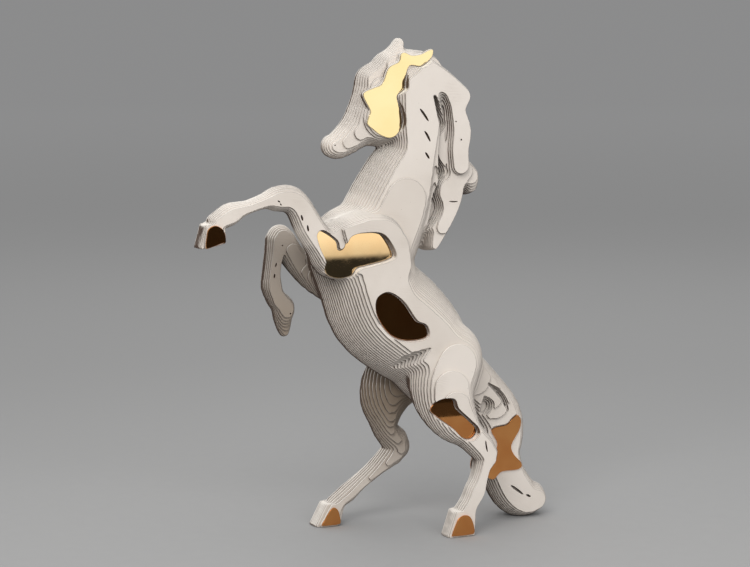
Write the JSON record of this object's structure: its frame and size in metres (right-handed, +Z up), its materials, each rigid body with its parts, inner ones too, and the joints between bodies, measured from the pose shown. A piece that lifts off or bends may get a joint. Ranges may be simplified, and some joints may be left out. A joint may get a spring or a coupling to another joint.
{
  "type": "rearing horse sculpture",
  "caption": "Free-standing sculpture of a rearing horse, built of flat upright boards side by side with polished gold plates let in. It rests on its hind hooves and tail.",
  "frame": {"origin": "on the ground, under the middle of the box around the horse", "axes": "+Z up, -X the way the horse faces, -Y its left side, with the boards parallel to XZ"},
  "size_m": [0.4002, 0.1216, 0.498],
  "materials": {
    "board": "off-white painted board, matte, with darker brown cut edges",
    "gold": "mirror-polished gold-coloured metal plate"
  },
  "bodies": {
    "root": {"board_left_01": "board", "board_left_02": "board", "board_left_03": "board", "board_left_04": "board", "board_left_05": "board", "board_left_06": "board", "board_left_07": "board", "board_left_08": "board", "board_left_09": "board", "board_left_09_left_foreleg": "board", "board_left_10": "board", "board_left_11": "board", "board_middle": "board", "board_right_01": "board", "board_right_02": "board", "board_right_03": "board", "board_right_04": "board", "board_right_05": "board", "board_right_06": "board", "board_right_07": "board", "board_right_08": "board", "board_right_09": "board", "board_right_09_right_foreleg": "board", "board_right_10": "board", "board_right_11": "board", "board_right_12": "board", "plate_left_belly": "gold", "plate_left_cheek": "gold", "plate_left_chest": "gold", "plate_left_fore_hoof": "gold", "plate_left_hind_hoof": "gold", "plate_left_tail": "gold", "plate_left_thigh": "gold", "plate_right_belly": "gold", "plate_right_cheek": "gold", "plate_right_chest": "gold", "plate_right_hind_hoof": "gold", "plate_right_tail": "gold", "plate_right_thigh": "gold"}
  },
  "joints": []
}
